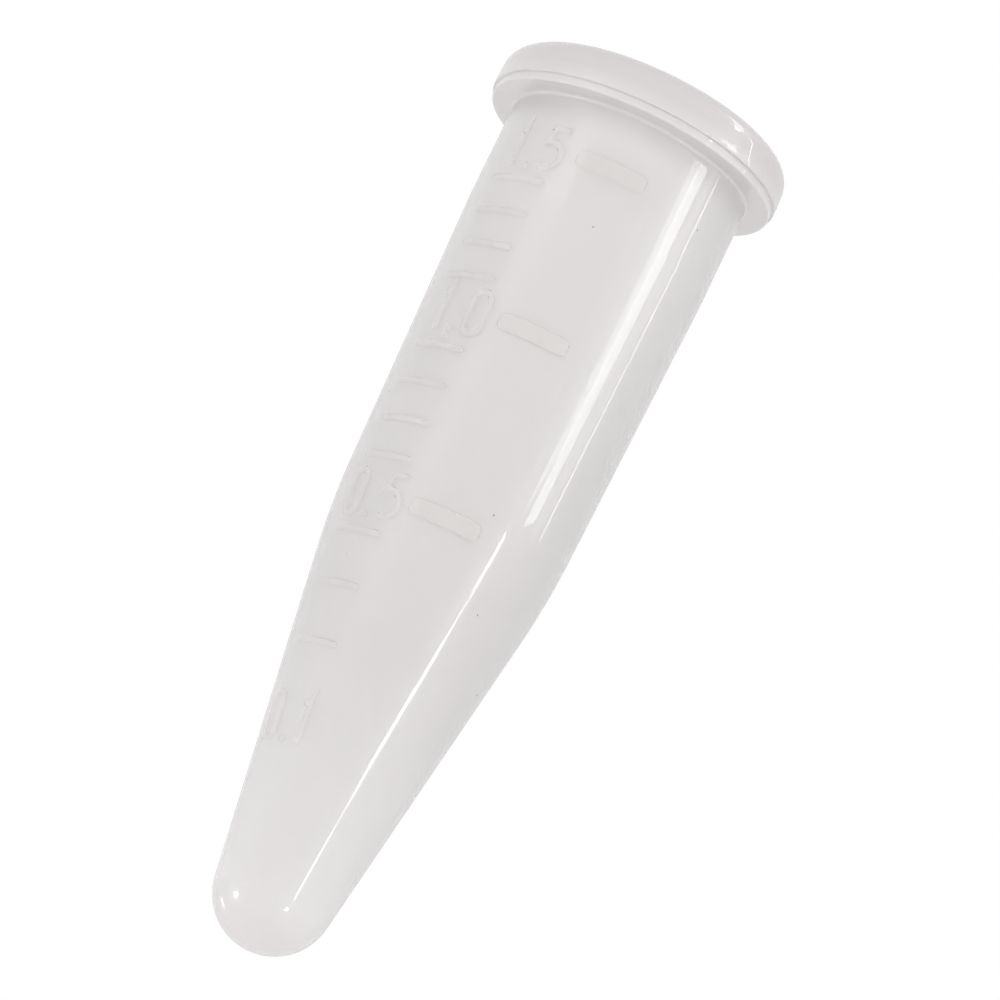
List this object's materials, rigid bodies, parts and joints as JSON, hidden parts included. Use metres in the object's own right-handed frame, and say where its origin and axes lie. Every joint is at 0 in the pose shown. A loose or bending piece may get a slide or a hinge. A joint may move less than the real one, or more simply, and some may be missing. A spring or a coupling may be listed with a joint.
{
  "type": "microcentrifuge tube",
  "caption": "Open conical microcentrifuge tube with a flanged mouth, a straight barrel, a rounded tip and a raised volume scale on one side.",
  "frame": {"origin": "on the tube's axis, in the plane of the flange's underside, which is the face that sits on a rack", "axes": "+Z along the tube's axis, out of the mouth; the volume scale is read from the -Y side"},
  "size_m": [0.013, 0.013, 0.0396],
  "materials": {
    "natural_polypropylene": "injection moulded, uncoloured and translucent, with a glossy outside and a slightly milky wall"
  },
  "bodies": {
    "root": {"tube_body": "natural_polypropylene", "volume_bars": "natural_polypropylene", "volume_ticks": "natural_polypropylene", "volume_numerals": "natural_polypropylene"}
  },
  "joints": []
}
